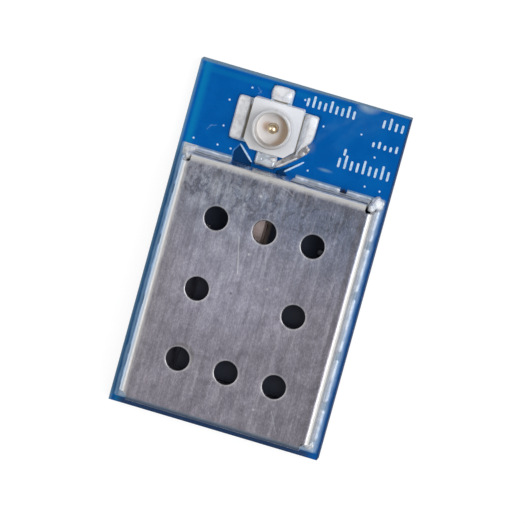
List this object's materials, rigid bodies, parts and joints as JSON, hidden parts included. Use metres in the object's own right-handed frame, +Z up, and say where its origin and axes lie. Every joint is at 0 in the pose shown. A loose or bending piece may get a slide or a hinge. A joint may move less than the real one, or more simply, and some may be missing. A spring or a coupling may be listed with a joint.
{
  "type": "radio module",
  "caption": "Surface-mount radio module: a blue circuit board with a folded, vented metal shield can over its radio parts and a push-on coaxial antenna socket beside it.",
  "frame": {"origin": "middle of the board's underside, which is the plane it is soldered down on", "axes": "+Z up out of the board, +Y along the board's length towards the antenna socket, +X to the right seen from above"},
  "size_m": [0.011, 0.018, 0.0026],
  "materials": {
    "solder_mask": "glossy blue solder mask over glass-fibre board",
    "gold_plate": "thin gold plating",
    "tinned_land": "tinned copper",
    "can_sheet": "fine brushed tinned sheet, lightly scratched",
    "solder": "bright reflowed solder",
    "white_resin": "satin moulded resin",
    "silver_plate": "satin silver plating",
    "chip_epoxy": "black moulded epoxy",
    "dark_ceramic": "dark fired ceramic",
    "crystal_lid": "satin metal lid",
    "tan_ceramic": "fired ceramic",
    "white_ceramic": "fired ceramic"
  },
  "bodies": {
    "root": {"circuit_board": "solder_mask", "contact_pads": "gold_plate", "shield_land": "tinned_land", "shield_can": "can_sheet", "shield_solder": "solder", "socket_lands": "tinned_land", "socket_insulator": "white_resin", "socket_shell": "silver_plate", "socket_pin": "gold_plate", "socket_solder": "solder", "radio_chip_body": "chip_epoxy", "radio_chip_leads": "tinned_land", "radio_chip_heat_pad": "tinned_land", "main_crystal_base": "dark_ceramic", "main_crystal_lid": "crystal_lid", "sleep_crystal_base": "dark_ceramic", "sleep_crystal_lid": "crystal_lid", "capacitor_bodies": "tan_ceramic", "capacitor_ends": "solder", "coil_bodies": "white_ceramic", "coil_ends": "solder", "resistor_bodies": "chip_epoxy", "resistor_ends": "solder", "balun_body": "white_ceramic", "balun_ends": "solder"}
  },
  "joints": []
}
